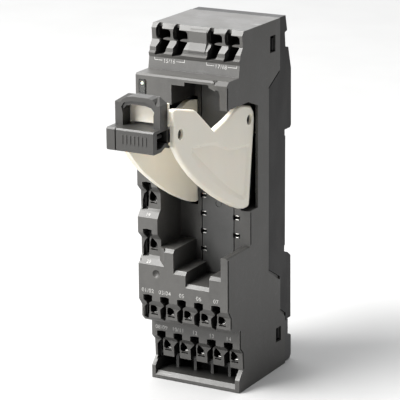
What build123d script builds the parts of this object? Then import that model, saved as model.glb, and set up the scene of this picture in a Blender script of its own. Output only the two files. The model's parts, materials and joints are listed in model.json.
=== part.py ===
from build123d import *
import math
import os

# Relay socket for a 35 mm mounting rail. Millimetres, +Z up, the front faces -Y.
# Origin: middle of the flat seat that rests on the rail (X middle of the width, Y the seat plane, Z the rail's centreline).

# ---------------------------------------------------------------- driving dimensions
HALF_W = 13.85            # half of the case width
HALF_W_REAR = 13.62       # the rear cover's flanks stand a little further in
TOP_Z = 49.80
BASE_Z = -51.10
FRONT_Y = -34.45          # front plane of the terminal columns and pillars
ROW2_Y = -27.72           # front plane of the lower terminal row
FLOOR_Y = -21.48          # floor of the relay cavity
WALL = 0.95               # side wall
HALL_Y = -13.2            # front of the rear hall that the bars run through

RAIL_H = 35.30            # height of the rail recess
SEAT_H = 31.80            # height of the raised seat
HOOK_Z = 16.35            # noses of the rail hooks, above and below the centreline

CAV_L, CAV_R = -7.72, 11.80        # relay cavity
PILLAR_Z = 30.15                   # underside of the two front pillars
LEDGE_Z = 37.75

ROW_X = (-0.42, 9.78)              # the two rows of relay contacts
PIN_Z = [-13.10 + 5.08 * i for i in range(6)]
COIL_Z = 19.0
SLOT_H = 1.42                      # contact slot height

PITCH = 5.33
ROW1_X = [-11.10 + PITCH * i for i in range(5)]
ROW2_X = [-10.85 + 5.31 * i for i in range(5)]
ROW1_Z, ROW2_Z = -24.42, -36.92    # tops of the release holes in the two lower rows
LEFT_X = -10.98
LEFT_Z = (7.95, -5.35)             # tops of the release holes in the left column
TOP_X = [-11.35 + 5.27 * i for i in (0, 1, 3, 4)]   # slot centres in the top block

PIVOT_Y, PIVOT_Z = -19.75, 24.65   # lever axis, along X
PIVOT_D, PIN_D = 2.90, 2.76
PLATE_T = 1.58
PLATE_R, PLATE_L = 11.24, -4.10    # inner face of the right plate, outer face of the left plate
POCKET_R = 25.60                   # radius of the pockets that the fans swing into
LATCH_TRAVEL = 3.0


def yz(x):
    return Plane.YZ.offset(x)


def face_y(y):
    return Plane.XZ.offset(-y)


def block(x0, x1, y0, y1, z0, z1, mode=Mode.ADD):
    with Locations(((x0 + x1) / 2, (y0 + y1) / 2, (z0 + z1) / 2)):
        Box(x1 - x0, y1 - y0, z1 - z0, mode=mode)


def blocks(corners, dx, dy, dz, mode=Mode.ADD):
    """Equal boxes, each given by its lowest corner."""
    with Locations(*[(x + dx / 2, y + dy / 2, z + dz / 2) for x, y, z in corners]):
        Box(dx, dy, dz, mode=mode)


# ---------------------------------------------------------------- profiles (Y, Z)
SEAM = [(-3.86, TOP_Z), (-3.86, 34.75), (-10.40, 31.10), (-10.40, -20.20),
        (-3.30, -24.20), (-3.30, -33.75), (0.45, -36.20), (0.45, BASE_Z)]
FRONT = [(-24.85, TOP_Z), (-25.74, 48.60), (-25.45, 45.40), (-26.80, 43.60), (-26.85, 42.50),
         (-27.50, 42.05), (-27.15, 40.90), (-27.72, LEDGE_Z), (-33.95, LEDGE_Z), (FRONT_Y, 37.30),
         (FRONT_Y, -25.80), (-32.87, -27.90), (-32.87, -31.20), (-31.40, -32.70), (ROW2_Y, -32.70),
         (ROW2_Y, -38.40), (-26.10, -40.00), (-25.75, -45.10), (-26.90, -46.30), (-27.90, -47.40),
         (-27.90, -50.90), (-27.70, BASE_Z)]
# Terminal recesses of the left column, cut from the front plane
LEFT_A = [(FRONT_Y - 1, 6.60), (FRONT_Y, 6.60), (-32.60, 4.70), (-32.50, -0.10), (-33.25, -0.80),
          (FRONT_Y, -2.30), (FRONT_Y - 1, -2.30)]
LEFT_B = [(y, z - 13.30) for y, z in LEFT_A]

# Outline of a terminal: release hole, neck and spring slot as one opening, beside it the wire entry
KEYHOLE = [(-1.38, 0), (0.20, 0.24), (1.45, 0), (1.45, -1.45), (0.98, -1.98), (0.10, -2.42), (-0.34, -3.10), (-0.34, -4.94),
           (-0.58, -6.86), (-1.35, -7.70), (-2.14, -6.98), (-2.33, -5.30), (-2.30, -4.30), (-1.45, -3.45),
           (-0.95, -3.05), (-0.95, -2.20), (-1.38, -1.45)]
KEYHOLE_OPEN = [(-1.40, -0.10), (0.20, 0.15), (1.42, 0.05), (1.42, -1.50), (0.98, -2.00), (0.10, -2.42), (-0.40, -3.10), (-0.45, -9.0),
                (-2.33, -9.0), (-2.33, -4.60), (-1.50, -3.60), (-0.95, -3.05), (-0.95, -2.20), (-1.40, -1.50)]
KEYHOLE_LEFT = [(-1.35, -0.30), (0.0, -0.06), (1.45, -0.30), (1.45, -2.00), (0.30, -2.65), (-0.28, -3.25), (-0.28, -4.72),
                (-0.46, -6.75), (-0.62, -8.30), (-2.40, -8.55), (-2.36, -5.88), (-1.85, -4.09), (-1.05, -3.35), (-1.05, -2.85),
                (-1.35, -2.20)]
ENTRY = [(-0.10, -3.85), (0.46, -2.55), (1.10, -2.95), (2.12, -3.95), (2.26, -5.20), (0.62, -5.58), (-0.10, -5.20)]
TOP_KEY = [(-1.20, 0.90), (-1.25, 2.20), (-1.00, 3.60), (-0.60, 4.60), (-0.10, 4.85), (0.40, 4.65), (0.74, 3.90), (0.84, 3.05),
           (2.70, 3.05), (3.32, 2.50), (3.34, 0.98), (3.10, 0.72), (1.50, 0.62), (0.96, 0.36),
           (1.05, 0.10), (3.20, 0.00), (3.10, -0.60), (2.38, -2.90), (2.10, -3.42), (1.00, -3.76), (-0.60, -3.90),
           (-0.58, -1.70), (-0.05, -0.60), (-0.20, -0.05), (-0.90, 0.32)]

CELL_X0, CELL_X1 = -2.35, 2.35


def sector(radius, a0, a1):
    """Pie about the lever axis in (Y, Z), angles from +Y."""
    p = [(PIVOT_Y, PIVOT_Z)]
    for k in range(13):
        a = math.radians(a0 + (a1 - a0) * k / 12)
        p.append((PIVOT_Y + radius * math.cos(a), PIVOT_Z + radius * math.sin(a)))
    return p


POCKET = [(FLOOR_Y - 0.5, 29.9), (-16.4, 29.9), (-13.6, 27.2), (-12.2, 24.2), (2.4 - 2.0, 10.6)] + [
    (PIVOT_Y + POCKET_R * math.cos(math.radians(a)), PIVOT_Z + POCKET_R * math.sin(math.radians(a)))
    for a in (-47, -53, -60, -66, -72, -78, -84)] + [(-19.0, -0.93), (FLOOR_Y - 0.5, -0.60)]
POCKET = [(y, z) if y < -2.0 else (-2.0, z) for y, z in POCKET]

# Flared cheek of the left column's lower recess: in front of the recess and its lower slope, left of a slanted plane
with BuildPart() as flare:
    with BuildSketch(yz(-7.80)):
        Polygon((-33.25, -9.8), (-33.25, -14.10), (FRONT_Y, -15.60), (-35.6, -15.60), (-35.6, -9.8), align=None)
    extrude(amount=2.1)
    with BuildSketch(Plane.XY.offset(-16)):
        Polygon((-7.85, -33.24), (-5.75, FRONT_Y - 0.02), (-5.75, -35.7), (-7.85, -35.7), align=None)
    extrude(amount=7, mode=Mode.INTERSECT)

# ---------------------------------------------------------------- housing
with BuildPart() as housing:
    with BuildSketch(yz(-HALF_W)):
        Polygon(*(FRONT + SEAM[::-1]), align=None)
    extrude(amount=2 * HALF_W)

    # rear hall, open to the rear: bottom zone, middle zone behind the floor, top zone
    block(-12.90, 12.90, HALL_Y, 4, BASE_Z + 1.3, -20.6, Mode.SUBTRACT)
    block(-12.90, 12.90, HALL_Y, 4, -21.0, 40.0, Mode.SUBTRACT)
    block(-12.90, 12.90, HALL_Y, 4, 39.5, TOP_Z - 1.1, Mode.SUBTRACT)
    # well for the contact carrier, through the cavity's floor
    block(-1.14, 9.10, FLOOR_Y - 1, HALL_Y + 1, -19.70, 36.80, Mode.SUBTRACT)

    # relay cavity: middle part open to the front and to the right
    block(CAV_L, HALF_W + 1, FRONT_Y - 1, FLOOR_Y, -10.49, PILLAR_Z, Mode.SUBTRACT)
    # stepped lower end
    block(-2.87, 11.85, FRONT_Y - 1, FLOOR_Y, -16.30, -10.0, Mode.SUBTRACT)
    block(0.87, 8.30, FRONT_Y - 1, FLOOR_Y, -19.70, -16.0, Mode.SUBTRACT)
    # upper end between the pillars, with its stepped lintel
    with BuildSketch(face_y(FRONT_Y - 1)):
        Polygon((-2.87, 30.0), (-2.87, 35.60), (1.10, 35.60), (1.10, 36.65), (8.45, 36.65), (8.45, 35.95), (9.52, 35.48),
                (10.30, 35.15), (11.80, 34.30), (11.80, 30.0), align=None)
    extrude(amount=-(1 + FLOOR_Y - FRONT_Y), mode=Mode.SUBTRACT)
    # small hole in the lintel's corner
    with BuildSketch(face_y(FRONT_Y - 1)):
        Polygon((10.15, 35.05), (10.55, 35.50), (11.45, 35.45), (11.78, 34.40), (11.60, 34.20), align=None)
    extrude(amount=-4.0, mode=Mode.SUBTRACT)
    # lower corner of the ledge at the right, with a slope that leads down to it
    with BuildSketch(yz(10.05)):
        Polygon((-35.5, 38.1), (-33.05, 38.1), (-33.05, 37.75), (FRONT_Y, 36.75), (-35.5, 36.0), align=None)
    extrude(amount=5.0, mode=Mode.SUBTRACT)
    with Locations(Location((9.75, -33.70, 38.18), (0, 30, 0))):
        Box(1.9, 1.9, 1.1, mode=Mode.SUBTRACT)
    # bright bevels on the front edges of the steps
    for x0, x1, z in ((-5.75, -2.87, -10.49), (-2.87, 0.87, -16.30), (0.87, 8.30, -19.70), (8.30, 11.85, -16.30)):
        with BuildSketch(yz(x0)):
            Polygon((FRONT_Y - 0.5, z - 0.92), (FRONT_Y, z - 0.92), (FRONT_Y + 0.85, z), (FRONT_Y + 0.85, z + 0.5),
                    (FRONT_Y - 0.5, z + 0.5), align=None)
        extrude(amount=x1 - x0, mode=Mode.SUBTRACT)
    with BuildSketch(face_y(FRONT_Y - 1)):
        Polygon((11.85, -10.6), (12.35, -10.49), (13.4, -10.49), (HALF_W, -10.9), (HALF_W, -10.0), (11.85, -10.0), align=None)
    extrude(amount=-14.0, mode=Mode.SUBTRACT)

    # window in the right side wall for the lever's fan
    with BuildSketch(yz(11.00)):
        Polygon((FRONT_Y - 1, 30.15), (-22.2, 30.15), (-16.73, 28.10), (-16.73, -0.30), (-17.0, -0.60), (FLOOR_Y - 0.1, -0.60),
                (FLOOR_Y - 0.1, -5.0), (FRONT_Y - 1, -5.0), align=None)
    extrude(amount=4, mode=Mode.SUBTRACT)

    # terminal recesses of the left column and the flat strip beside them
    for prof in (LEFT_A, LEFT_B):
        with BuildSketch(yz(-HALF_W - 1)):
            Polygon(*prof, align=None)
        extrude(amount=HALF_W + 1 + CAV_L + 0.02, mode=Mode.SUBTRACT)
    # flared cheek of the lower recess, where the step stands beside it
    add(flare.part, mode=Mode.SUBTRACT)

    # chamber of the indicator, behind the left pillar and column
    block(-12.90, -4.00, -33.20, HALL_Y + 1, 31.60, 36.30, Mode.SUBTRACT)
    block(-12.90, -8.62, -33.20, HALL_Y + 1, 11.60, 32.00, Mode.SUBTRACT)
    # terminal cells, open to the hall
    blocks([(xc + CELL_X0, -31.60, -31.30) for xc in ROW1_X[1:]], CELL_X1 - CELL_X0, HALL_Y + 32.60, 7.40, Mode.SUBTRACT)
    blocks([(xc + CELL_X0, -24.50, -44.10) for xc in ROW2_X[1:]], CELL_X1 - CELL_X0, HALL_Y + 25.50, 7.80, Mode.SUBTRACT)
    block(-12.95, ROW1_X[0] + CELL_X1, -31.60, HALL_Y + 1, -31.30, -23.90, Mode.SUBTRACT)
    block(-12.95, ROW2_X[0] + CELL_X1, -24.50, HALL_Y + 1, -44.10, -36.30, Mode.SUBTRACT)
    # the same cells nearer to the front: behind the recessed face, and behind the release holes
    blocks([(xc - 2.20, -32.40, -31.00) for xc in ROW1_X[1:]], 4.50, 2.0, 3.60, Mode.SUBTRACT)
    blocks([(xc - 2.20, -25.40, -43.90) for xc in ROW2_X[1:]], 4.50, 2.0, 3.60, Mode.SUBTRACT)
    block(-12.95, ROW1_X[0] + 2.30, -32.40, -31.0, -31.00, -27.40, Mode.SUBTRACT)
    block(-12.95, ROW2_X[0] + 2.30, -25.40, -24.0, -43.90, -40.30, Mode.SUBTRACT)
    blocks([(xc - 1.60, -33.50, -26.20) for xc in ROW1_X], 3.30, 2.5, 2.0, Mode.SUBTRACT)
    blocks([(xc - 1.60, -26.90, -38.70) for xc in ROW2_X], 3.30, 3.0, 2.0, Mode.SUBTRACT)
    blocks([(-12.90, -31.20, z - 8.60) for z in LEFT_Z], 4.28, HALL_Y + 32.20, 9.30, Mode.SUBTRACT)
    blocks([(-12.90, -32.00, z - 8.00) for z in LEFT_Z], 4.20, 2.0, 4.60, Mode.SUBTRACT)
    blocks([(-12.50, -33.50, z - 1.75) for z in LEFT_Z], 3.20, 3.0, 2.0, Mode.SUBTRACT)
    blocks([(xs - 1.05, -24.35, 41.00) for xs in TOP_X], 4.50, HALL_Y + 25.35, TOP_Z - 42.0, Mode.SUBTRACT)

    # release holes and spring slots
    with BuildSketch(face_y(FRONT_Y - 1)):
        for xc in ROW1_X:
            with Locations((xc, ROW1_Z)):
                Polygon(*KEYHOLE, align=None)
        for z in LEFT_Z:
            with Locations((LEFT_X, z)):
                Polygon(*KEYHOLE_LEFT, align=None)
    extrude(amount=-4.2, mode=Mode.SUBTRACT)
    with BuildSketch(face_y(ROW2_Y - 1)):
        for xc in ROW2_X:
            with Locations((xc, ROW2_Z)):
                Polygon(*KEYHOLE_OPEN, align=None)
    extrude(amount=-4.6, mode=Mode.SUBTRACT)
    with BuildSketch(face_y(-28.5)):
        for xs in TOP_X:
            with Locations((xs, 45.40)):
                Polygon(*TOP_KEY, align=None)
    extrude(amount=-4.4, mode=Mode.SUBTRACT)
    # wire entries, funnelled
    with BuildSketch(face_y(-33.10)):
        for xc in ROW1_X:
            with Locations((xc, ROW1_Z)):
                Polygon(*ENTRY, align=None)
        for z in LEFT_Z:
            with Locations((LEFT_X - 0.05, z - 0.45)):
                Polygon(*ENTRY, align=None)
    extrude(amount=-2.2, mode=Mode.SUBTRACT)
    with BuildSketch(face_y(-26.60)):
        for xc in ROW2_X:
            with Locations((xc - 0.08, ROW2_Z - 0.15)):
                Polygon(*ENTRY, align=None)
    extrude(amount=-2.4, mode=Mode.SUBTRACT)
    # thin slit under each entry
    blocks([(xc + 0.12, -33.2, ROW1_Z - 6.02) for xc in ROW1_X] + [(LEFT_X + 0.02, -33.2, z - 6.55) for z in LEFT_Z],
           2.16, 1.9, 0.42, Mode.SUBTRACT)
    blocks([(xc + 0.02, -26.6, ROW2_Z - 6.20) for xc in ROW2_X], 2.16, 2.3, 0.42, Mode.SUBTRACT)

    # plain raised marking field in the top block, with a sloped lower edge
    with BuildSketch(yz(-2.00)):
        Polygon((-25.0, 49.35), (-25.40, 49.20), (-25.96, 48.60), (-25.98, 45.60), (-27.05, 43.65), (-27.05, 43.25), (-26.0, 42.7), (-25.0, 43.5),
                align=None)
    extrude(amount=5.2)

    # tray under the lower row, with four ribs and a sloped lip
    with BuildSketch(yz(-12.75)):
        Polygon((-29.0, -44.75), (-20.5, -44.75), (-20.5, -49.00), (-26.85, -49.00), (-27.95, -50.10), (-29.0, -50.10), align=None)
    extrude(amount=25.3, mode=Mode.SUBTRACT)
    block(-12.75, 12.55, -20.6, -14.3, -49.8, -44.75, Mode.SUBTRACT)
    blocks([(x - 0.42, -22.3, -49.2) for x in (-8.80, -3.10, 2.30, 7.80)], 0.84, 2.5, 4.8)

    # grooves beside the front edge on both sides, and along the seam
    for s in (-1, 1):
        x0, x1 = sorted((s * (HALF_W - 0.60), s * (HALF_W + 1)))
        for y, za, zb in ((FRONT_Y + 0.35, PILLAR_Z - 0.5, 36.2), (FRONT_Y + 0.35, -25.6, -11.2),
                          (ROW2_Y + 0.35, -38.3, -33.1), (FLOOR_Y + 0.30, -10.2, -0.9)):
            if s > 0 or zb not in (36.2, -0.9):
                block(x0, x1, y, y + 0.55, za, zb, Mode.SUBTRACT)
        # the same line down the slopes beside the two rows
        for run in (((FRONT_Y + 0.35, -25.7), (-32.52, -28.0), (-32.52, -31.1)), ((ROW2_Y + 0.35, -38.3), (-25.75, -40.0), (-25.40, -44.9))):
            with BuildSketch(yz(x0)):
                for (ya, za), (yb, zb) in zip(run, run[1:]):
                    Polygon((ya, za), (yb, zb), (yb + 0.50, zb), (ya + 0.50, za), align=None)
            extrude(amount=x1 - x0, mode=Mode.SUBTRACT)
        with BuildSketch(yz(x0)):
            for i, j, k in ((1, 2, 0.60), (3, 4, 0.90), (5, 6, 0.95), (6, 7, 0.70)):
                (ya, za), (yb, zb) = SEAM[i], SEAM[j]
                length = math.hypot(yb - ya, zb - za)
                ny, nz = (zb - za) / length * k, -(yb - ya) / length * k
                Polygon((ya + 0.2 * (0 if j == 7 else 1), za), (yb + 0.2, zb), (yb + ny, zb + nz), (ya + ny, za + nz), align=None)
        extrude(amount=x1 - x0, mode=Mode.SUBTRACT)

    # dimple on the front
    with Locations((-8.27, FRONT_Y - 0.55, -18.0)):
        Sphere(1.30, mode=Mode.SUBTRACT)

    # indicator window
    with BuildSketch(face_y(FRONT_Y - 1)):
        with Locations((-11.70, 34.05)):
            RectangleRounded(2.50, 4.40, 0.5)
    extrude(amount=-3, mode=Mode.SUBTRACT)

    # contact slots where they run into the housing's floor
    blocks([(-1.50, FLOOR_Y - 1, z - SLOT_H / 2) for z in PIN_Z + [COIL_Z]], 0.50, HALL_Y - FLOOR_Y + 1, SLOT_H, Mode.SUBTRACT)
    blocks([(9.00, FLOOR_Y - 1, z - SLOT_H / 2) for z in PIN_Z + [COIL_Z]], 1.80, HALL_Y - FLOOR_Y + 1, SLOT_H, Mode.SUBTRACT)

    # pockets for the two fans
    for x0, x1 in ((-4.50, -2.18), (10.98, 13.08)):
        with BuildSketch(yz(x0)):
            Polygon(*POCKET, align=None)
        extrude(amount=x1 - x0, mode=Mode.SUBTRACT)
    # bosses and stub pins that carry the lever
    for x0, x1, tip in ((-6.60, -4.50, -2.75), (9.50, 10.98, 12.02)):
        with BuildSketch(yz(x0)):
            with Locations((PIVOT_Y + 1.2, PIVOT_Z)):
                RectangleRounded(6.2, 7.0, 1.2)
        extrude(amount=x1 - x0)
        with BuildSketch(yz(x1 - 0.2)):
            with Locations((PIVOT_Y, PIVOT_Z)):
                Circle(PIN_D / 2)
        extrude(amount=tip - x1 + 0.2)
    with BuildSketch(yz(12.03)):
        with Locations((PIVOT_Y, PIVOT_Z)):
            Circle(0.85)
    extrude(amount=-0.7, mode=Mode.SUBTRACT)
    # the well again, where the right boss would reach into it
    block(-1.14, 9.10, FLOOR_Y - 1, HALL_Y + 1, -19.70, 36.80, Mode.SUBTRACT)

    # snap windows in both sides
    blocks([(-15.0, -9.70, 41.0), (12.5, -9.70, 41.0)], 2.5, 3.15, 4.65, Mode.SUBTRACT)
    blocks([(-15.0, -5.85, -43.3), (12.5, -5.85, -43.3)], 2.5, 3.13, 4.30, Mode.SUBTRACT)
housing.part.label = "housing"

# ---------------------------------------------------------------- rear cover
REAR = [(-0.10, TOP_Z), (0.90, 45.50), (-0.50, 45.10), (-0.10, 41.10), (1.60, 40.70), (3.30, 34.45),
        (3.47, 18.25), (2.85, RAIL_H / 2), (-0.40, RAIL_H / 2), (-0.40, SEAT_H / 2), (0, SEAT_H / 2),
        (0, -SEAT_H / 2), (-0.40, -SEAT_H / 2), (-0.40, -RAIL_H / 2), (1.66, -18.40), (3.47, -19.75),
        (3.66, -38.20), (0.50, -38.20), (0.50, -36.15), (-3.25, -33.70), (-3.25, -24.12), (-10.35, -20.12), (-10.35, 31.03),
        (-3.81, 34.68), (-3.81, TOP_Z)]
with BuildPart() as rear_cover:
    with BuildSketch(yz(-HALF_W_REAR)):
        Polygon(*REAR, align=None)
    extrude(amount=2 * HALF_W_REAR)
    # hollow, open to the front
    block(-12.3, 12.3, -12, -1.60, 33.0, 48.40, Mode.SUBTRACT)
    block(-12.3, 12.3, -12, 2.10, 19.20, 33.30, Mode.SUBTRACT)
    block(-12.3, 12.3, -12, -1.60, -19.40, 19.30, Mode.SUBTRACT)
    block(-12.3, 12.3, -12, -1.10, -36.2, -19.30, Mode.SUBTRACT)
    # room for the right fan when the lever is closed
    block(10.8, 13.08, -11, -1.60, -2.0, 30.0, Mode.SUBTRACT)
    # lower plate that closes the housing behind the latch
    block(-12.75, 12.75, -1.10, 0.20, -49.60, -35.8)
    block(-3.0, 3.0, -1.10, 0.20, -37.0, -36.0)
    # latch channel, its rear opening and the groove for the spring
    block(-6.60, 6.60, 0.80, 2.66, -39.0, -16.0, Mode.SUBTRACT)
    block(-3.60, 3.60, 2.5, 4.5, -39.0, -22.5, Mode.SUBTRACT)
    block(-1.55, 1.55, 0.25, 1.0, -37.2, -23.0, Mode.SUBTRACT)
    # post that the spring stands on, inside the latch's window
    block(-1.15, 1.15, -0.2, 2.45, -36.20, -34.70)
    # fixed rail hooks
    for x0 in (-9.5, 3.5):
        with BuildSketch(yz(x0)):
            Polygon((1.15, RAIL_H / 2 + 0.5), (1.15, HOOK_Z + 0.35), (1.45, HOOK_Z), (2.2, HOOK_Z), (3.30, 17.9), (3.30, 18.4), align=None)
        extrude(amount=6.0)
    # lightening pockets beside the latch channel
    for s in (-1, 1):
        x0, x1 = sorted((s * 7.9, s * 12.2))
        block(x0, x1, -1.3, 2.3, -36.9, -20.6, Mode.SUBTRACT)
    # snap tongues that show in the housing's side windows
    for s in (-1, 1):
        x0, x1 = sorted((s * 10.9, s * 11.75))
        block(x0, x1, -9.40, -2.4, 41.4, 45.2)
        block(x0, x1, -5.60, 0.0, -42.9, -39.4)
        xa, xb = sorted((s * 11.0, s * 12.6))
        block(xa, xb, -3.5, -2.4, 41.4, 45.2)
        for ya, yb, za, zb in ((-7.90, -6.75, 41.4, 44.7), (-4.00, -2.90, -42.5, -39.4)):
            with BuildSketch(Plane.XY.offset(za)):
                Polygon((s * 11.60, ya), (s * 11.90, ya), (s * 13.35, ya + 0.35), (s * 13.35, yb), (s * 11.60, yb), align=None)
            extrude(amount=zb - za)
rear_cover.part.label = "rear_cover"

# ---------------------------------------------------------------- contact carrier
with BuildPart() as contact_carrier:
    block(-0.84, 8.80, FLOOR_Y, HALL_Y - 0.1, -19.50, 36.60)
    block(-0.84, 8.80, FLOOR_Y + 0.3, -10.7, -18.0, 34.0)
    blocks([(-1.20, FLOOR_Y - 1, z - SLOT_H / 2) for z in PIN_Z + [COIL_Z]], 1.60, 12.5, SLOT_H, Mode.SUBTRACT)
    blocks([(8.60, FLOOR_Y - 1, z - SLOT_H / 2) for z in PIN_Z + [COIL_Z]], 0.60, 12.5, SLOT_H, Mode.SUBTRACT)
    # round gate mark
    with BuildSketch(face_y(FLOOR_Y)):
        with Locations((4.25, 0.45)):
            Circle(1.05)
            Circle(0.75, mode=Mode.SUBTRACT)
    extrude(amount=-0.2, mode=Mode.SUBTRACT)
    # rear grooves that separate the bars
    block(1.2, 3.6, -12.4, -10, -17.0, 33.0, Mode.SUBTRACT)
    block(5.2, 7.4, -12.4, -10, -17.0, 33.0, Mode.SUBTRACT)
contact_carrier.part.label = "contact_carrier"

# ---------------------------------------------------------------- contact bars
# Each bar is one stamping: a fork that grips the relay's pin, a flat run in a layer of its own in the hall,
# and a tongue that runs forward under the clamp. Layers lie one behind another.
FORK_W = 1.15
LAYER_0, LAYER_STEP, BAR_T = -10.45, 0.62, 0.30
HALF_BAR = 0.55


def fork(x, z):
    """Two springy arms with flared tips, joined by a web at the back."""
    y0, y1 = FLOOR_Y + 0.12, HALL_Y - 0.35
    for s in (-1, 1):
        with BuildSketch(yz(x - FORK_W / 2)) as arm:
            Polygon((y0, z + s * 0.64), (y0, z + s * 0.42), (y0 + 0.9, z + s * 0.24), (y0 + 1.4, z + s * 0.24), (y0 + 3.0, z + s * 0.36), (y1, z + s * 0.36),
                    (y1, z + s * 0.60), (y0 + 3.0, z + s * 0.60), (y0 + 1.4, z + s * 0.50), (y0 + 0.9, z + s * 0.52), (y0 + 0.3, z + s * 0.64), align=None)
        extrude(arm.sketch, amount=FORK_W)
    block(x - FORK_W / 2, x + FORK_W / 2, y1 - 0.35, y1, z - 0.60, z + 0.60)


def bar(layer, xc, zc, xt, zt, z_turn, fork_x, ya=None, y_clamp=-22.5):
    """Fork at (xc, zc), run down or up to z_turn, across to xt, along to zt, then forward to y_clamp."""
    y = LAYER_0 + layer * LAYER_STEP
    fork(fork_x, zc)
    block(fork_x - FORK_W / 2, fork_x + FORK_W / 2, HALL_Y - 0.5, y + BAR_T, zc - 0.2, zc + 0.2)
    za, zb = sorted((zc, z_turn))
    block(xc - HALF_BAR, xc + HALF_BAR, y, y + BAR_T, za - 0.2, zb + HALF_BAR if z_turn > zc else zb + 0.2)
    xa, xb = sorted((xc, xt))
    block(xa - HALF_BAR, xb + HALF_BAR, y, y + BAR_T, z_turn - HALF_BAR, z_turn + HALF_BAR)
    za, zb = sorted((z_turn, zt))
    block(xt - HALF_BAR, xt + HALF_BAR, y, y + BAR_T, za, zb + (0.2 if zt > z_turn else 0))
    block(xt - HALF_BAR - 0.3, xt + HALF_BAR + 0.3, y_clamp, y + BAR_T, zt - 0.20, zt + 0.20)


BAR_PARTS = {}
# name: layer, contact row (0 left, 1 right), contact index, terminal x, terminal z, turn z, tongue front
ENTRY_DX = 0.75
BARS = [
    ("contact_bar_01", 0, 0, 0, ROW1_X[0] + ENTRY_DX, -30.6, -17.6, -30.6),
    ("contact_bar_02", 0, 1, 0, ROW1_X[4] + ENTRY_DX, -30.6, -17.6, -30.6),
    ("contact_bar_03", 1, 0, 1, ROW1_X[1] + ENTRY_DX, -30.6, -17.6, -30.6),
    ("contact_bar_04", 1, 1, 1, ROW1_X[3] + ENTRY_DX, -30.6, -17.6, -30.6),
    ("contact_bar_05", 2, 0, 2, LEFT_X + 0.75, -12.2, -17.6, -30.4),
    ("contact_bar_06", 2, 1, 2, ROW1_X[2] + ENTRY_DX, -30.6, -19.4, -30.6),
    ("contact_bar_07", 3, 0, 3, LEFT_X + 0.75, 1.1, -19.4, -30.4),
    ("contact_bar_08", 3, 1, 3, ROW2_X[4] + ENTRY_DX, -43.1, -17.6, -23.6),
    ("contact_bar_09", 4, 0, 4, ROW2_X[0] + ENTRY_DX, -43.1, -17.6, -23.6),
    ("contact_bar_10", 4, 1, 4, ROW2_X[3] + ENTRY_DX, -43.1, -17.6, -23.6),
    ("contact_bar_11", 5, 0, 5, ROW2_X[1] + ENTRY_DX, -43.1, -17.6, -23.6),
    ("contact_bar_12", 5, 1, 5, ROW2_X[2] + ENTRY_DX, -43.1, -19.4, -23.6),
]
FORK_X = (-0.36, 9.86)
for name, layer, row, idx, xt, zt, z_turn, yc in BARS:
    with BuildPart() as made:
        bar(layer, FORK_X[row], PIN_Z[idx], xt, zt, z_turn, FORK_X[row], y_clamp=yc)
    made.part.label = name
    BAR_PARTS[name] = made.part

# The two coil bars run up, and each feeds two entries in the top block
for name, row, pair in (("coil_bar_left", 0, TOP_X[:2]), ("coil_bar_right", 1, TOP_X[2:])):
    with BuildPart() as made:
        x = FORK_X[row]
        y = LAYER_0
        fork(x, COIL_Z)
        block(x - FORK_W / 2, x + FORK_W / 2, HALL_Y - 0.5, y + BAR_T, COIL_Z - 0.2, COIL_Z + 0.2)
        xr = x if row == 0 else 9.86
        block(xr - HALF_BAR, xr + HALF_BAR, y, y + BAR_T, COIL_Z - 0.2, 39.2)
        xs = [p + 1.2 for p in pair] + [xr]
        block(min(xs) - HALF_BAR, max(xs) + HALF_BAR, y, y + BAR_T, 38.1, 39.2)
        for p in pair:
            block(p + 1.2 - HALF_BAR, p + 1.2 + HALF_BAR, y, y + BAR_T, 38.6, 42.1)
            block(p + 1.2 - HALF_BAR - 0.3, p + 1.2 + HALF_BAR + 0.3, -23.4, y + BAR_T, 41.7, 42.1)
    made.part.label = name
    BAR_PARTS[name] = made.part

# ---------------------------------------------------------------- clamp springs
# A bent strip: its back leg lies along the cell's far wall, the loop turns at the rear, the free leg presses down on the bar's tongue.


def clamp(x, y_front, z_bar, up):
    """Strip 1.7 wide about x; the free leg ends just above the bar's tongue; up is +1 where the spring stands over the bar."""
    s = up
    with BuildSketch(yz(x - 0.85)) as strip:
        with BuildLine():
            Polyline((y_front + 0.4, z_bar + s * 6.3), (y_front + 7.2, z_bar + s * 6.3), (y_front + 8.6, z_bar + s * 5.6),
                     (y_front + 9.0, z_bar + s * 4.3), (y_front + 8.2, z_bar + s * 3.1), (y_front + 6.8, z_bar + s * 2.7),
                     (y_front + 2.6, z_bar + s * 1.2), (y_front + 1.6, z_bar + s * 0.32))
            offset(amount=0.12, side=Side.BOTH)
        make_face()
    extrude(strip.sketch, amount=1.7)


SPRINGS = []
for i, xc in enumerate(ROW1_X):
    SPRINGS.append((xc + ENTRY_DX, -31.2, -30.6, 1))
for i, xc in enumerate(ROW2_X):
    SPRINGS.append((xc + ENTRY_DX, -24.2, -43.1, 1))
for z in (1.1, -12.2):
    SPRINGS.append((LEFT_X + 0.4, -30.9, z, 1))
for xs in TOP_X:
    SPRINGS.append((xs + 1.2, -24.0, 41.9, 1))
SPRING_PARTS = {}
for n, (x, yf, zb, up) in enumerate(SPRINGS, 1):
    with BuildPart() as made:
        clamp(x, yf, zb, up)
    made.part.label = "clamp_spring_%02d" % n
    SPRING_PARTS["clamp_spring_%02d" % n] = made.part

# ---------------------------------------------------------------- indicator
with BuildPart() as led_lens:
    with BuildSketch(face_y(FRONT_Y + 0.15)):
        with Locations((-12.02, 34.05)):
            RectangleRounded(1.70, 4.24, 0.4)
    extrude(amount=-1.0)
    with BuildSketch(face_y(FRONT_Y + 1.30)):
        with Locations((-11.75, 34.0)):
            Rectangle(2.10, 4.30)
    extrude(amount=0.35)
    # hole for the light's dome
    with BuildSketch(face_y(FRONT_Y - 1)):
        with Locations((-12.05, 34.95)):
            Circle(0.66)
    extrude(amount=-4, mode=Mode.SUBTRACT)
led_lens.part.label = "led_lens"

with BuildPart() as indicator_board:
    block(-12.75, -4.15, -29.9, -29.1, 31.8, 36.1)
indicator_board.part.label = "indicator_board"

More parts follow.
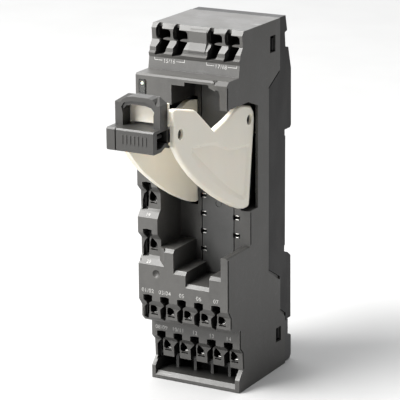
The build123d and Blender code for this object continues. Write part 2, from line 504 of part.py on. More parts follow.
with BuildPart() as indicator_led:
    block(-12.6, -10.8, -30.9, -29.92, 33.6, 36.0)
    with BuildSketch(face_y(-30.9)):
        with Locations((-12.05, 34.95)):
            Circle(0.56)
    extrude(amount=2.85)
    with Locations((-12.05, -33.75, 34.95)):
        Sphere(0.56)
indicator_led.part.label = "indicator_led"

with BuildPart() as coil_diode:
    block(-9.2, -5.4, -31.2, -29.92, 33.0, 35.0)
    block(-9.9, -4.7, -30.2, -29.92, 33.5, 34.5)
coil_diode.part.label = "coil_diode"

# ---------------------------------------------------------------- rail latch and its spring
with BuildPart() as din_latch:
    with BuildSketch(yz(-6.3)):
        Polygon((1.10, -38.75), (1.10, -HOOK_Z - 0.35), (1.35, -HOOK_Z), (1.75, -HOOK_Z), (2.36, -17.4), (2.36, -38.75), align=None)
    extrude(amount=12.6)
    block(-13.30, 13.30, 0.80, 2.66, -50.85, -38.60)
    with BuildSketch(yz(-13.30)):
        Polygon((0.80, -43.40), (3.60, -43.40), (4.60, -44.10), (4.60, -50.00), (3.90, -50.85), (0.80, -50.85), align=None)
    extrude(amount=26.6)
    # window for the spring and its post
    block(-1.50, 1.50, 0, 4, -36.55, -24.55, Mode.SUBTRACT)
    # tool slot in the foot
    with BuildSketch(face_y(5.5)):
        with Locations((0, -46.6)):
            RectangleRounded(6.4, 1.5, 0.5)
    extrude(amount=6, mode=Mode.SUBTRACT)
    # grip lines on the foot
    for z in (-48.4, -49.0, -49.6):
        block(-9, 9, 4.4, 5, z - 0.15, z + 0.15, Mode.SUBTRACT)
din_latch.part.label = "din_latch"

SPRING_Z0, SPRING_Z1, WIRE = -34.50, -24.75, 0.16
with BuildPart() as latch_spring:
    with BuildLine() as coil:
        Helix(pitch=(SPRING_Z1 - SPRING_Z0) / 7.0, height=SPRING_Z1 - SPRING_Z0, radius=0.98, center=(0, 1.72, SPRING_Z0))
    with BuildSketch(Plane(origin=coil.line @ 0, z_dir=coil.line % 0)):
        Circle(WIRE)
    sweep(path=coil.line, is_frenet=True)
latch_spring.part.label = "latch_spring"

# ---------------------------------------------------------------- release lever
PLATE = [(-21.2, 28.85), (-24.6, 29.45), (-26.6, 29.20), (-32.5, 27.35), (-39.2, 25.85), (-44.4, 29.95), (-48.2, 32.95), (-49.4, 33.60),
         (-58.5, 35.80), (-60.1, 35.95), (-60.55, 35.50), (-60.50, 32.90), (-59.75, 31.60), (-59.75, 30.0), (-59.70, 25.90),
         (-57.1, 22.3), (-53.9, 19.0), (-50.6, 16.0), (-47.1, 13.4), (-44.1, 11.3), (-38.9, 7.95), (-33.6, 5.0), (-28.2, 2.35), (-25.0, 1.0),
         (-22.6, 0.35), (-20.6, 0.30), (-19.75, 0.75), (-18.8, 8.0),
         (-18.1, 14.0), (-17.45, 18.5), (-16.95, 22.5), (-16.75, 24.6), (-17.2, 26.6), (-18.7, 28.2)]
# sunk field on the outer face of each plate: outline at the face, and the smaller one at its bottom
FIELD = [(-51.3, 24.1), (-46.2, 23.7), (-42.0, 23.25), (-38.2, 22.5), (-35.5, 21.1), (-32.8, 19.9), (-30.0, 19.05), (-27.0, 18.5),
         (-24.3, 18.2), (-20.5, 18.1), (-19.3, 17.6), (-20.2, 9.0), (-21.0, 3.9), (-22.6, 2.9), (-24.6, 3.4), (-30.0, 6.0), (-35.6, 9.3),
         (-39.9, 12.2), (-44.7, 15.6), (-48.9, 19.0), (-51.9, 22.4)]
FIELD_IN = [(-49.4, 23.3), (-46.0, 22.9), (-41.8, 22.4), (-38.0, 21.6), (-35.1, 20.2), (-32.4, 19.1), (-29.8, 18.3), (-27.0, 17.8),
            (-24.3, 17.5), (-21.0, 17.4), (-20.2, 16.6), (-21.0, 9.0), (-21.8, 4.6), (-23.0, 4.2), (-24.9, 4.9), (-29.7, 7.7), (-35.0, 11.3),
            (-39.1, 14.3), (-43.6, 17.6), (-47.4, 20.7), (-49.6, 22.6)]
with BuildPart() as release_lever:
    for x0 in (PLATE_L, PLATE_R):
        with BuildSketch(yz(x0)):
            Polygon(*PLATE, align=None)
        extrude(amount=PLATE_T)
    # front bridge, a little higher than the plates
    with BuildSketch(yz(PLATE_L + 0.4)):
        Polygon((-60.20, 31.80), (-59.30, 31.80), (-59.30, 35.6), (-60.20, 35.6), align=None)
    extrude(amount=PLATE_R - PLATE_L - 0.15)
    with BuildSketch(yz(PLATE_L + 1.4)):
        Polygon((-60.20, 35.5), (-59.45, 35.5), (-59.45, 37.25), (-59.60, 37.40), (-60.05, 37.40), (-60.20, 37.25), align=None)
    extrude(amount=PLATE_R - PLATE_L - 1.55)
    # sunk fields with sloping rims
    for x_face, step in ((PLATE_R + PLATE_T, -0.52), (PLATE_L, 0.52)):
        with BuildSketch(yz(x_face)):
            Polygon(*FIELD, align=None)
        with BuildSketch(yz(x_face + step)):
            Polygon(*FIELD_IN, align=None)
        loft(ruled=True, mode=Mode.SUBTRACT)
    # pivot holes, with a thicker rim left around them, and the two front holes
    with BuildSketch(yz(PLATE_L - 1)):
        with Locations((PIVOT_Y, PIVOT_Z)):
            Circle(PIVOT_D / 2)
        with Locations((-56.95, 28.85)):
            Circle(1.42)
    extrude(amount=20, mode=Mode.SUBTRACT)
    # rounded outer edges of the two plates
    for radius in (0.65, 0.5, 0.36):
        try:
            fillet(release_lever.faces().filter_by(Axis.X).sort_by(Axis.X)[-1].outer_wire().edges(), radius)
            print("plate edge rounded", radius)
            break
        except Exception:
            print("plate edge not rounded at", radius)
    else:
        chamfer(release_lever.faces().filter_by(Axis.X).sort_by(Axis.X)[-1].outer_wire().edges(), 0.36)
release_lever.part.label = "release_lever"

# ---------------------------------------------------------------- grip
GX0, GX1 = -2.00, 10.90
with BuildPart() as lever_grip:
    # C-shaped block
    with BuildSketch(yz(GX0)):
        Polygon((-67.20, 31.40), (-59.95, 31.40), (-59.95, 26.55), (-59.2, 26.1), (-59.3, 25.5), (-61.6, 26.2), (-63.6, 25.45), (-67.15, 25.45),
                (-67.60, 25.9), (-67.60, 31.0), align=None)
    extrude(amount=GX1 - GX0)
    with BuildSketch(yz(GX0 - 0.80)):
        Polygon((-67.20, 31.40), (-61.00, 31.40), (-61.00, 26.35), (-61.6, 26.2), (-63.6, 25.45), (-67.15, 25.45), (-67.60, 25.9), (-67.60, 31.0), align=None)
    extrude(amount=1.0)
    # hollow, open at the right end, with a lower wall that rises in the middle
    with BuildSketch(yz(GX0 + 1.3)):
        Polygon((-65.70, 30.62), (-60.65, 30.62), (-60.65, 27.15), (-61.6, 27.3), (-63.6, 26.45), (-65.70, 26.45), align=None)
    extrude(amount=GX1 - GX0, mode=Mode.SUBTRACT)
    # peg inside
    with BuildSketch(face_y(-66.3)):
        with Locations((9.4, 29.2)):
            Circle(0.62)
    extrude(amount=-4.6)
    # vertical groove near the left end of the front
    block(-0.35, 0.05, -67.8, -67.2, 25.0, 32.0, Mode.SUBTRACT)
    # ring handle: legs and shoulders, shoulders sloping back, and the arch over the opening
    with BuildSketch(face_y(-64.05)):
        Polygon((GX0 - 0.25, 31.3), (GX0 - 0.25, 37.5), (GX0 + 1.7, 39.0), (GX1 - 2.0, 39.0), (GX1, 37.5), (GX1, 31.3), align=None)
    extrude(amount=-3.75)
    with BuildSketch(yz(GX0 - 0.4)):
        Polygon((-64.2, 37.40), (-64.2, 39.3), (-60.2, 39.3), (-60.9, 38.95), align=None)
    extrude(amount=GX1 - GX0 + 0.6, mode=Mode.SUBTRACT)
    with BuildSketch(face_y(-64.05)):
        Polygon((-0.62, 34.0), (-0.62, 37.45), (0.10, 38.30), (1.30, 38.92), (2.84, 39.15), (7.30, 39.15), (8.60, 38.85), (9.35, 38.20),
                (9.70, 37.40), (9.70, 34.0), align=None)
    extrude(amount=-3.75)
    with BuildSketch(face_y(-64.15)):
        Polygon((-0.05, 31.4), (-0.05, 35.6), (0.75, 36.55), (2.4, 36.95), (6.4, 36.95), (8.1, 36.55), (9.0, 35.6), (9.0, 31.4), align=None)
    extrude(amount=-4.5, mode=Mode.SUBTRACT)
    # sunk border round the opening's arch
    with BuildSketch(face_y(-64.15)):
        Polygon((-0.05, 34.6), (-0.40, 36.20), (0.35, 37.35), (2.6, 37.95), (6.6, 37.95), (8.6, 37.35), (9.35, 36.20), (9.0, 34.6), align=None)
    extrude(amount=-0.55, mode=Mode.SUBTRACT)
    # lip across the top of the opening at the rear
    block(-0.2, 9.2, -61.35, -60.30, 36.40, 37.30)
    # snap arm under and behind the lever's bridge
    with BuildSketch(yz(1.0)):
        Polygon((-60.4, 31.4), (-60.4, 30.6), (-57.9, 30.6), (-57.9, 33.0), (-58.4, 33.6), (-59.02, 33.1), (-59.02, 31.55), (-60.05, 31.55), (-60.05, 31.4), align=None)
    extrude(amount=6.9)
    # two arms along the plates with pegs that sit in the plates' front holes
    for x0, x1, p0, p1 in ((GX0, GX0 + 1.2, -3.35, GX0 + 0.1), (GX1 - 1.2, GX1, GX1 - 0.1, 12.05)):
        block(x0, x1, -60.4, -55.2, 27.10, 30.60)
        with BuildSketch(yz(p0)):
            with Locations((-56.95, 28.85)):
                Circle(1.30)
        extrude(amount=p1 - p0)
    # upright ribs on the front
    for i in range(7):
        block(1.6 + i * 1.15, 2.1 + i * 1.15, -67.78, -67.5, 27.6, 29.9)
lever_grip.part.label = "lever_grip"

# ---------------------------------------------------------------- write
os.makedirs("parts", exist_ok=True)
PARTS = {
    "housing": housing.part, "rear_cover": rear_cover.part, "contact_carrier": contact_carrier.part,
    "led_lens": led_lens.part, "indicator_board": indicator_board.part, "indicator_led": indicator_led.part,
    "coil_diode": coil_diode.part, "din_latch": din_latch.part, "latch_spring": latch_spring.part,
    "release_lever": release_lever.part, "lever_grip": lever_grip.part,
}
PARTS.update(BAR_PARTS)
PARTS.update(SPRING_PARTS)
for name, part in PARTS.items():
    part.label = name
    export_step(part, "parts/" + name + ".step")
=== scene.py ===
import json
import math

import bpy
from mathutils import Matrix, Vector


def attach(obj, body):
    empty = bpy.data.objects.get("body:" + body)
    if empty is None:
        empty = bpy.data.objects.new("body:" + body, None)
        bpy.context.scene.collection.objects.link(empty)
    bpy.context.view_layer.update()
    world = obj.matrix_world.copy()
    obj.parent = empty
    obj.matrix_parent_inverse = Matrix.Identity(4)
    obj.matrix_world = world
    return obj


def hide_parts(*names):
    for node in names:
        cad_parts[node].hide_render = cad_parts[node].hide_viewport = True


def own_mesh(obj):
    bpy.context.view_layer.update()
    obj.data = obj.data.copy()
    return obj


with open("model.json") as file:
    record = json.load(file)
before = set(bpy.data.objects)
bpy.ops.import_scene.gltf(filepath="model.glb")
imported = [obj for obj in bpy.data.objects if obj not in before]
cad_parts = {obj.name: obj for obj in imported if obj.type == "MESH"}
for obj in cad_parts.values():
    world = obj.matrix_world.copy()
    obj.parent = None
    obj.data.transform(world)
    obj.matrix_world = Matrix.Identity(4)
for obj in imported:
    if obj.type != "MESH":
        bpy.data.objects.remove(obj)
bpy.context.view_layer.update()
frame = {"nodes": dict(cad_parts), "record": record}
NODES = frame["nodes"]
MM = 0.001


# ------------------------------------------------------------------ materials
class Graph:
    """A material's node tree, built a node at a time."""

    def __init__(self, name):
        self.mat = bpy.data.materials.new(name)
        self.mat.use_nodes = True
        self.tree = self.mat.node_tree
        self.tree.nodes.clear()
        self.out = self.node("ShaderNodeOutputMaterial")
        self.bsdf = self.node("ShaderNodeBsdfPrincipled")
        self.join(self.bsdf, "BSDF", self.out, "Surface")
        self.coord = self.node("ShaderNodeTexCoord")

    def node(self, kind, **props):
        n = self.tree.nodes.new(kind)
        for k, v in props.items():
            setattr(n, k, v)
        return n

    def join(self, a, out, b, into):
        self.tree.links.new(a.outputs[out], b.inputs[into])

    def mapped(self, scale):
        m = self.node("ShaderNodeMapping")
        m.inputs["Scale"].default_value = scale
        self.join(self.coord, "Object", m, "Vector")
        return m

    def noise(self, scale, detail=2.0, rough=0.5, stretch=None, distort=0.0):
        n = self.node("ShaderNodeTexNoise")
        n.inputs["Scale"].default_value = scale
        n.inputs["Detail"].default_value = detail
        n.inputs["Roughness"].default_value = rough
        n.inputs["Distortion"].default_value = distort
        if stretch:
            self.join(self.mapped(stretch), "Vector", n, "Vector")
        else:
            self.join(self.coord, "Object", n, "Vector")
        return n

    def ramp(self, src, out, lo, hi, a, b):
        r = self.node("ShaderNodeMapRange", interpolation_type="SMOOTHSTEP")
        self.join(src, out, r, "Value")
        for k, v in (("From Min", lo), ("From Max", hi), ("To Min", a), ("To Max", b)):
            r.inputs[k].default_value = v
        return r

    def math(self, op, a, b=None, value=None):
        m = self.node("ShaderNodeMath", operation=op)
        self.tree.links.new(a, m.inputs[0])
        if b is not None:
            self.tree.links.new(b, m.inputs[1])
        elif value is not None:
            m.inputs[1].default_value = value
        return m

    def mix(self, fac, a, b):
        """Colour mix; each of a and b is a colour or an output."""
        m = self.node("ShaderNodeMix", data_type="RGBA")
        if isinstance(fac, float):
            m.inputs[0].default_value = fac
        else:
            self.tree.links.new(fac, m.inputs[0])
        for i, c in ((6, a), (7, b)):
            if isinstance(c, tuple):
                m.inputs[i].default_value = (*c, 1.0)
            else:
                self.tree.links.new(c, m.inputs[i])
        return m.outputs[2]

    def edges(self, radius, samples=4):
        """0 on flat ground, up to 1 along a sharp edge."""
        b = self.node("ShaderNodeBevel", samples=samples)
        b.inputs["Radius"].default_value = radius
        g = self.node("ShaderNodeNewGeometry")
        d = self.node("ShaderNodeVectorMath", operation="DOT_PRODUCT")
        self.join(b, "Normal", d, 0)
        self.join(g, "Normal", d, 1)
        return self.ramp(d, "Value", 0.995, 0.86, 0.0, 1.0)

    def painted_recess_shade(self, color, shade_reach, painted_shade_min):
        """Painted shade: an ambient-occlusion mask darkens the colour in the depths of a moulding, its recesses and the
        gaps between parts, so they read darker than its outer faces.
        """
        a = self.node("ShaderNodeAmbientOcclusion", samples=6)
        a.inputs["Distance"].default_value = shade_reach
        r = self.ramp(a, "AO", 0.16, 0.64, painted_shade_min, 1.0)
        m = self.node("ShaderNodeVectorMath", operation="SCALE")
        self.tree.links.new(color, m.inputs[0])
        self.join(r, 0, m, "Scale")
        return m.outputs[0]

    def bump(self, height, distance, strength=1.0, under=None):
        b = self.node("ShaderNodeBump")
        b.inputs["Strength"].default_value = strength
        b.inputs["Distance"].default_value = distance
        self.tree.links.new(height, b.inputs["Height"])
        if under is not None:
            self.join(under, "Normal", b, "Normal")
        return b


def srgb(r, g, b):
    def f(c):
        c /= 255.0
        return c / 12.92 if c <= 0.04045 else ((c + 0.055) / 1.055) ** 2.4

    return (f(r), f(g), f(b))


def plastic(name, base, rough, grain=0.000020, grain_scale=3600.0, mottle=0.10, worn_and_lit_edge=1.9, spec=0.5, edge=0.00026, marks=1.0, painted_shade_min=0.10, shade_reach=0.024):
    """Moulded plastic: spark-eroded grain, slight flow mottling, polished and scuffed edges whose lightening is partly
    wear and partly a painted highlight, faint handling marks, and painted shade that darkens its recesses.
    """
    g = Graph(name)
    fine = g.noise(grain_scale, 2.5, 0.6)
    pits = g.node("ShaderNodeTexVoronoi", feature="SMOOTH_F1")
    pits.inputs["Scale"].default_value = grain_scale * 0.55
    g.join(g.coord, "Object", pits, "Vector")
    flow = g.noise(150.0, 4.0, 0.55, (1.0, 1.0, 0.45), 0.4)
    cloud = g.noise(620.0, 3.0, 0.6)
    streak = g.noise(900.0, 2.0, 0.5, (0.12, 0.5, 1.6))
    edge_mask = g.edges(edge)
    dark = tuple(c * (1.0 - mottle) for c in base)
    light = tuple(min(1.0, c * (1.0 + mottle)) for c in base)
    f = g.ramp(flow, "Fac", 0.32, 0.68, 0.0, 1.0)
    c = g.mix(f.outputs[0], dark, light)
    s = g.ramp(cloud, "Fac", 0.35, 0.70, 0.0, 0.35 * marks)
    c = g.mix(s.outputs[0], c, tuple(min(1.0, v * 1.16) for v in base))
    speck = g.ramp(fine, "Fac", 0.56, 0.74, 0.0, 0.30 * marks)
    c = g.mix(speck.outputs[0], c, tuple(min(1.0, v * 1.45) for v in base))
    scuff = g.ramp(streak, "Fac", 0.66, 0.78, 0.0, 0.14 * marks)
    c = g.mix(scuff.outputs[0], c, tuple(min(1.0, v * 1.30) for v in base))
    # edges lightened partly as wear and partly as a painted highlight along rounded edges
    wear_and_highlight = g.math("MULTIPLY", edge_mask.outputs[0], g.ramp(cloud, "Fac", 0.30, 0.62, 0.35, 1.0).outputs[0])
    c = g.mix(wear_and_highlight.outputs[0], c, tuple(min(1.0, v * worn_and_lit_edge) for v in base))
    # painted shade: the colour is darkened where the surface is occluded, in recesses and between parts
    if painted_shade_min < 1.0:
        c = g.painted_recess_shade(c, shade_reach, painted_shade_min)
    g.tree.links.new(c, g.bsdf.inputs["Base Color"])
    r = g.ramp(flow, "Fac", 0.25, 0.75, rough - 0.05, rough + 0.06)
    r2 = g.math("SUBTRACT", r.outputs[0], g.math("MULTIPLY", wear_and_highlight.outputs[0], value=0.10).outputs[0])
    r3 = g.math("SUBTRACT", r2.outputs[0], g.math("MULTIPLY", scuff.outputs[0], value=0.45).outputs[0])
    g.tree.links.new(r3.outputs[0], g.bsdf.inputs["Roughness"])
    g.bsdf.inputs["IOR"].default_value = 1.50
    g.bsdf.inputs["Specular IOR Level"].default_value = spec
    hgt = g.math("ADD", fine.outputs["Fac"], pits.outputs["Distance"])
    low = g.bump(cloud.outputs["Fac"], 0.000030 * marks, 0.35)
    top = g.bump(hgt.outputs[0], grain, 0.8, low)
    g.join(top, "Normal", g.bsdf, "Normal")
    return g


def metal(name, base, rough, brushed=(1.0, 1.0, 9.0)):
    """Stamped and plated strip: rolling marks along the strip, slight tarnish, bright burnished edges."""
    g = Graph(name)
    lines = g.noise(2600.0, 3.0, 0.6, brushed)
    stain = g.noise(700.0, 4.0, 0.6)
    edge_mask = g.edges(0.00012)
    t = g.ramp(stain, "Fac", 0.38, 0.72, 0.0, 0.55)
    c = g.mix(t.outputs[0], base, tuple(v * 0.72 for v in base))
    c = g.mix(edge_mask.outputs[0], c, tuple(min(1.0, v * 1.12) for v in base))
    # painted shade: the metal's colour is darkened in its hollows and where parts crowd it
    c = g.painted_recess_shade(c, 0.0024, 0.12)
    g.tree.links.new(c, g.bsdf.inputs["Base Color"])
    g.bsdf.inputs["Metallic"].default_value = 1.0
    r = g.ramp(lines, "Fac", 0.3, 0.7, rough - 0.06, rough + 0.10)
    g.tree.links.new(r.outputs[0], g.bsdf.inputs["Roughness"])
    b = g.bump(lines.outputs["Fac"], 0.000006, 0.7)
    g.join(b, "Normal", g.bsdf, "Normal")
    return g


def build_materials():
    m = {}
    m["housing_plastic"] = plastic("housing_plastic", srgb(63, 62, 60), 0.48, mottle=0.13, marks=1.6).mat
    m["rear_plastic"] = plastic("rear_plastic", srgb(29, 28, 28), 0.52, spec=0.28, grain=0.000014).mat
    m["carrier_plastic"] = plastic("carrier_plastic", srgb(66, 66, 65), 0.42, grain=0.000012, painted_shade_min=0.55).mat
    m["grip_plastic"] = plastic("grip_plastic", srgb(45, 44, 42), 0.46, grain=0.000012, worn_and_lit_edge=2.1).mat
    m["latch_plastic"] = plastic("latch_plastic", srgb(46, 45, 45), 0.40, grain=0.000010).mat
    ivory = plastic("lever_plastic", srgb(222, 217, 204), 0.34, grain=0.000004, grain_scale=2600.0, mottle=0.012, worn_and_lit_edge=1.16, edge=0.0006, marks=0.12, painted_shade_min=1.0)
    ivory.bsdf.inputs["Subsurface Weight"].default_value = 0.35
    ivory.bsdf.inputs["Subsurface Radius"].default_value = (1.0, 0.82, 0.55)
    ivory.bsdf.inputs["Subsurface Scale"].default_value = 0.0012
    m["lever_plastic"] = ivory.mat
    m["contact_metal"] = metal("contact_metal", (0.95, 0.93, 0.89), 0.34).mat
    m["clamp_steel"] = metal("clamp_steel", (0.62, 0.61, 0.60), 0.30).mat
    m["spring_steel"] = metal("spring_steel", (0.60, 0.60, 0.60), 0.28, (1.0, 1.0, 1.0)).mat
    # smoked lens
    lens = plastic("lens", srgb(120, 121, 120), 0.16, grain=0.000002, mottle=0.04, painted_shade_min=1.0)
    lens.bsdf.inputs["Transmission Weight"].default_value = 0.3
    lens.bsdf.inputs["Coat Weight"].default_value = 0.4
    lens.bsdf.inputs["Coat Roughness"].default_value = 0.05
    clear = lens.node("ShaderNodeBsdfTransparent")
    clear.inputs["Color"].default_value = (0.80, 0.80, 0.79, 1.0)
    both = lens.node("ShaderNodeMixShader")
    both.inputs["Fac"].default_value = 0.62
    lens.join(lens.bsdf, "BSDF", both, 1)
    lens.join(clear, "BSDF", both, 2)
    lens.join(both, "Shader", lens.out, "Surface")
    m["lens"] = lens.mat
    board = plastic("board", srgb(38, 78, 52), 0.36, grain=0.000004, mottle=0.14)
    m["board"] = board.mat
    led = plastic("led", srgb(240, 238, 228), 0.12, grain=0.000001, mottle=0.02, painted_shade_min=1.0)
    led.bsdf.inputs["Subsurface Weight"].default_value = 0.4
    led.bsdf.inputs["Subsurface Scale"].default_value = 0.0008
    m["led"] = led.mat
    m["diode"] = plastic("diode", srgb(40, 38, 38), 0.30, grain=0.000004).mat
    # pad-printed marks
    g = Graph("white_print")
    n = g.noise(2400.0, 3.0, 0.6)
    f = g.ramp(n, "Fac", 0.34, 0.60, 0.0, 1.0)
    c = g.mix(f.outputs[0], srgb(128, 127, 124), srgb(180, 179, 176))
    g.tree.links.new(c, g.bsdf.inputs["Base Color"])
    r = g.ramp(n, "Fac", 0.3, 0.7, 0.42, 0.60)
    g.tree.links.new(r.outputs[0], g.bsdf.inputs["Roughness"])
    b = g.bump(n.outputs["Fac"], 0.000006, 0.6)
    g.join(b, "Normal", g.bsdf, "Normal")
    m["white_print"] = g.mat
    # matt studio paper
    g = Graph("studio_paper")
    n = g.noise(38.0, 3.0, 0.5)
    f = g.ramp(n, "Fac", 0.3, 0.7, 0.0, 1.0)
    c = g.mix(f.outputs[0], (0.36, 0.36, 0.36), (0.37, 0.37, 0.37))
    g.tree.links.new(c, g.bsdf.inputs["Base Color"])
    r = g.ramp(n, "Fac", 0.3, 0.7, 0.86, 0.94)
    g.tree.links.new(r.outputs[0], g.bsdf.inputs["Roughness"])
    g.bsdf.inputs["Specular IOR Level"].default_value = 0.1
    m["studio_paper"] = g.mat
    return m


MATS = build_materials()


# ------------------------------------------------------------------ CAD nodes: material and softened edges
def soften(obj, width, segments=2, angle=14.0):
    """Moulded or stamped edges are never razor sharp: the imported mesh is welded, its flats are made whole and its edges rounded."""
    w = obj.modifiers.new("weld", "WELD")
    w.merge_threshold = 1e-6
    d = obj.modifiers.new("flats", "DECIMATE")
    d.decimate_type = "DISSOLVE"
    d.angle_limit = math.radians(0.6)
    b = obj.modifiers.new("edges", "BEVEL")
    b.width = width
    b.segments = segments
    b.limit_method = "ANGLE"
    b.angle_limit = math.radians(angle)
    b.use_clamp_overlap = True
    b.miter_outer = "MITER_ARC"
    n = obj.modifiers.new("shade", "WEIGHTED_NORMAL")
    n.mode = "FACE_AREA"
    n.weight = 60
    n.keep_sharp = False


def folded(obj):
    """Square millimetres by which the softened mesh's triangles overlap: a face with many corners can be cut up wrongly."""
    held = obj.evaluated_get(bpy.context.evaluated_depsgraph_get())
    me = held.to_mesh()
    me.calc_loop_triangles()
    share = {}
    for t in me.loop_triangles:
        share[t.polygon_index] = share.get(t.polygon_index, 0.0) + t.area
    over = sum(max(0.0, share.get(p.index, 0.0) - p.area) for p in me.polygons if p.loop_total > 4)
    held.to_mesh_clear()
    return over * 1e6


SLOT_OF = {s["node"]: s["material_slot"] for s in frame["record"]["subparts"]}
WIDTH = {
    "housing": 0.12, "rear_cover": 0.14, "contact_carrier": 0.08, "release_lever": 0.12, "lever_grip": 0.13,
    "din_latch": 0.12, "led_lens": 0.08, "indicator_board": 0.05, "coil_diode": 0.08, "indicator_led": 0.04,
}
for name, obj in NODES.items():
    obj.data.materials.clear()
    obj.data.materials.append(MATS[SLOT_OF[name]])
    if name == "latch_spring":
        continue
    width = WIDTH.get(name, 0.05 if name.startswith(("contact_bar", "coil_bar")) else 0.04)
    soften(obj, width * MM, 2 if width > 0.1 else 1)
bpy.context.view_layer.update()
for name, obj in NODES.items():
    if "flats" in obj.modifiers and folded(obj) > 0.25:
        obj.modifiers.remove(obj.modifiers["flats"])
        obj.modifiers.remove(obj.modifiers["shade"])


# ------------------------------------------------------------------ printed marks
def mesh_piece(name, verts, faces, material, body):
    me = bpy.data.meshes.new(name)
    me.from_pydata(verts, [], faces)
    me.update()
    ob = bpy.data.objects.new(name, me)
    bpy.context.scene.collection.objects.link(ob)
    me.materials.append(material)
    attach(ob, body)
    return ob


def glyphs(text, size):
    """Plain figures as triangles in the XY plane, centred on the origin; size is the height of a figure in mm."""
    cu = bpy.data.curves.new("figures", "FONT")
    cu.body = text
    cu.size = size / 0.70
    cu.extrude = 0.010
    cu.offset = -0.018
    cu.space_character = 1.04
    cu.align_x = "CENTER"
    cu.resolution_u = 3
    ob = bpy.data.objects.new("figures", cu)
    bpy.context.scene.collection.objects.link(ob)
    bpy.context.view_layer.update()
    me = bpy.data.meshes.new_from_object(ob.evaluated_get(bpy.context.evaluated_depsgraph_get()))
    verts = [v.co.copy() for v in me.vertices]
    faces = [list(p.vertices) for p in me.polygons]
    bpy.data.objects.remove(ob)
    bpy.data.curves.remove(cu)
    bpy.data.meshes.remove(me)
    mid = size / 2
    return [Vector((v.x, v.y - mid, v.z)) for v in verts], faces


def bar_shape(points, width):
    """A thin printed line along points in the XY plane, as one box a run."""
    verts, faces = [], []
    for (x0, y0), (x1, y1) in zip(points, points[1:]):
        d = Vector((x1 - x0, y1 - y0, 0)).normalized() * (width / 2)
        n = Vector((-d.y, d.x, 0))
        k = len(verts)
        for z in (-0.010, 0.010):
            for p, s in (((x0, y0), -1), ((x1, y1), 1)):
                for t in (-1, 1):
                    verts.append(Vector((p[0], p[1], z)) + d * s + n * t)
        # 0,1 start low; 2,3 end low; 4,5 start high; 6,7 end high
        faces += [[k + a for a in q] for q in ((0, 1, 3, 2), (4, 6, 7, 5), (0, 4, 5, 1), (2, 3, 7, 6), (0, 2, 6, 4), (1, 5, 7, 3))]
    return verts, faces


def print_on(name, items, body="socket"):
    """items: (verts, faces, place in mm, lean in degrees from upright). Printed side faces -Y."""
    allv, allf = [], []
    for verts, faces, (x, y, z), lean in items:
        m = Matrix.Translation(Vector((x, y, z)) * MM) @ Matrix.Rotation(math.radians(90.0 + lean), 4, "X") @ Matrix.Scale(MM, 4)
        k = len(allv)
        allv += [m @ v for v in verts]
        allf += [[i + k for i in f] for f in faces]
    return mesh_piece(name, allv, allf, MATS["white_print"], body)


ROW1_X = [-11.10 + 5.33 * i for i in range(5)]
ROW2_X = [-10.85 + 5.31 * i for i in range(5)]
PROUD = 0.006
row1 = [(*glyphs(t, 1.15), (x + 0.1, -34.45 - PROUD, -23.05), 0.0) for t, x in zip(("01/02", "03/04", "05", "06", "07"), ROW1_X)]
print_on("marks_row_one", row1)
row2 = [(*glyphs(t, 1.15), (x + 0.1, -27.72 - PROUD, -35.75), 0.0) for t, x in zip(("08/09", "10/11", "12", "13", "14"), ROW2_X)]
print_on("marks_row_two", row2)
# two brackets with a pair of figures each, on the leaning face under the top terminals
LEAN = math.degrees(math.atan2(0.57, 3.15))
MID = 39.30


def on_lean(points):
    return [(x, (z - MID) / math.cos(math.radians(LEAN))) for x, z in points]


lean_place = (0.0, -27.72 + (MID - 37.75) * 0.57 / 3.15 - PROUD, MID)
top_items = []
for run in ([(-12.16, 40.82), (-12.00, 40.20), (-9.75, 40.20)], [(-5.35, 40.20), (-2.85, 40.20), (-2.85, 40.82)],
            [(3.83, 40.82), (3.95, 40.22), (6.10, 40.22)], [(10.40, 40.22), (12.98, 40.22), (12.98, 40.82)]):
    top_items.append((*bar_shape(on_lean(run), 0.13), lean_place, -LEAN))
for t, x in (("15/16", -7.52), ("17/18", 8.28)):
    verts, faces = glyphs(t, 1.10)
    top_items.append(([v + Vector((x, on_lean([(x, 40.15)])[0][1], 0.0)) for v in verts], faces, lean_place, -LEAN))
print_on("marks_top", top_items)
# a pair of figures on the lower slope of each recess in the left column
slope = math.degrees(math.atan2(1.20, 1.50))
print_on("marks_left", [(*glyphs(t, 0.95), (-10.9, -33.85 - PROUD, z - PROUD), -slope) for t, z in (("19", -1.55), ("20", -14.85))])

# ------------------------------------------------------------------ the latch's coil spring, a smooth-shaded copy of the CAD spring that rides with the socket
cad_coil = NODES["latch_spring"]
coil_mesh = cad_coil.data.copy()
coil_mesh.transform(cad_coil.matrix_world)
for face in coil_mesh.polygons:
    face.use_smooth = True
coil = bpy.data.objects.new("latch_coil", coil_mesh)
bpy.context.scene.collection.objects.link(coil)
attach(coil, "socket")
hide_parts("latch_spring")
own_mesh(coil)

# ------------------------------------------------------------------ stage, light, camera
me = bpy.data.meshes.new("floor")
N = 64
R = 3.2
ring = [(R * math.cos(2 * math.pi * i / N), R * math.sin(2 * math.pi * i / N), -0.0511 - 0.00005) for i in range(N)]
me.from_pydata(ring, [], [list(range(N))])
me.update()
floor = bpy.data.objects.new("floor", me)
bpy.context.scene.collection.objects.link(floor)
me.materials.append(MATS["studio_paper"])


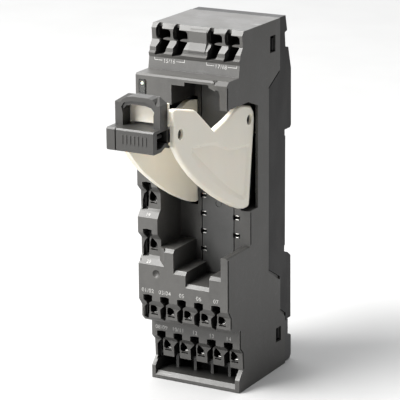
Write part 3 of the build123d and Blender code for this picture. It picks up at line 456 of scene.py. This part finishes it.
def area(name, place, aim, size, power, color=(1.0, 1.0, 1.0), size_y=None):
    li = bpy.data.lights.new(name, "AREA")
    li.energy = power
    li.color = color
    li.shape = "RECTANGLE"
    li.size = size
    li.size_y = size_y or size
    ob = bpy.data.objects.new(name, li)
    bpy.context.scene.collection.objects.link(ob)
    ob.location = place
    ob.rotation_euler = (Vector(aim) - Vector(place)).to_track_quat("-Z", "Y").to_euler()
    return ob


area("key", (-0.55, -0.72, 1.10), (0, -0.01, 0.0), 0.75, 53.0, (1.0, 0.995, 0.985))
area("front", (-0.75, -1.35, 0.28), (0, -0.02, 0.0), 0.7, 15.0, (1.0, 1.0, 1.0), 0.9)
area("top", (-0.05, 0.10, 1.25), (0, -0.01, 0.0), 0.8, 14.0, (1.0, 1.0, 1.0))
area("back", (-0.85, 1.35, 0.50), (0, 0, 0.02), 1.5, 9.0, (0.99, 0.995, 1.0), 0.8)

world = bpy.data.worlds.new("studio")
bpy.context.scene.world = world
world.use_nodes = True
bg = world.node_tree.nodes.get("Background")
bg.inputs["Color"].default_value = (0.93, 0.94, 0.95, 1.0)
bg.inputs["Strength"].default_value = 0.45

yaw, pitch, roll = math.radians(29.354), math.radians(15.911), math.radians(-0.4347)
fwd = Vector((-math.sin(yaw) * math.cos(pitch), math.cos(yaw) * math.cos(pitch), -math.sin(pitch)))
right = Vector((math.cos(yaw), math.sin(yaw), 0.0))
up = right.cross(fwd)
r2 = right * math.cos(roll) + up * math.sin(roll)
u2 = up * math.cos(roll) - right * math.sin(roll)
cam = bpy.data.cameras.new("camera")
cam.lens = 195.46
cam.sensor_width = 36.0
cam.sensor_fit = "HORIZONTAL"
cam.clip_start = 0.01
cam.clip_end = 20.0
cam_ob = bpy.data.objects.new("camera", cam)
bpy.context.scene.collection.objects.link(cam_ob)
cam_ob.matrix_world = Matrix(((r2.x, u2.x, -fwd.x, 0.27942), (r2.y, u2.y, -fwd.y, -0.52123), (r2.z, u2.z, -fwd.z, 0.16411), (0, 0, 0, 1)))
bpy.context.scene.camera = cam_ob
bpy.context.scene.view_settings.view_transform = "Standard"
bpy.context.scene.view_settings.look = "None"
